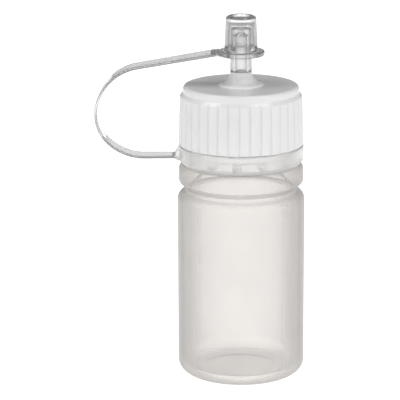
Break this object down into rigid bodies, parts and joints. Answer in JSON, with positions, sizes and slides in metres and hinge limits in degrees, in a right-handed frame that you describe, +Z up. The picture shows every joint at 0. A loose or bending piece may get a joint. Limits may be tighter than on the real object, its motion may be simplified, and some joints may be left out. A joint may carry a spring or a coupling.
{
  "type": "tethered dropper bottle",
  "caption": "Small translucent squeeze bottle with a ribbed screw closure, dropper tip and a clear overcap tethered to a neck ring by a looped strap.",
  "frame": {"origin": "centre of the bottle's base, on the surface that it stands on", "axes": "+Z up through the dropper tip; the tether strap loops out on the -X side; the front is -Y"},
  "size_m": [0.0558, 0.034, 0.0974],
  "materials": {
    "milky_bottle": "satin translucent soft polyethylene",
    "milky_closure": "glossy translucent polypropylene",
    "clear_plastic": "clear polished polypropylene",
    "clear_tip": "clear polished plastic",
    "seal_foam": "matt soft white liner"
  },
  "bodies": {
    "bottle": {"bottle": "milky_bottle"},
    "seal": {"seal_washer": "seal_foam"},
    "closure": {"closure": "milky_closure", "dropper_tip": "clear_tip"},
    "tether": {"tether_ring": "clear_plastic", "strap_lower": "clear_plastic"},
    "strap": {"strap_upper": "clear_plastic"},
    "overcap": {"overcap": "clear_plastic"}
  },
  "joints": [
    {"name": "closure_rise", "type": "slide", "parent": "bottle", "child": "seal", "axis": [0, 0, 1], "range_m": [0, 0.01482]},
    {"name": "closure_turn", "type": "hinge", "parent": "seal", "child": "closure", "pos_m": [0, 0, 0], "axis": [0, 0, 1], "range_deg": [0, 1260]},
    {"name": "tether_swivel", "type": "hinge", "parent": "bottle", "child": "tether", "pos_m": [0, 0, 0], "axis": [0, 0, 1], "continuous": true},
    {"name": "strap_rise", "type": "slide", "parent": "tether", "child": "strap", "axis": [0, 0, 1], "range_m": [0, 0.01482]},
    {"name": "overcap_pull", "type": "slide", "parent": "strap", "child": "overcap", "axis": [0, 0, 1], "range_m": [0, 0.01]}
  ],
  "couplings": [
    {"joint": "closure_rise", "follows": "closure_turn", "m_per_rad": 0.0006737},
    {"joint": "strap_rise", "follows": "closure_turn", "m_per_rad": 0.0006737}
  ]
}
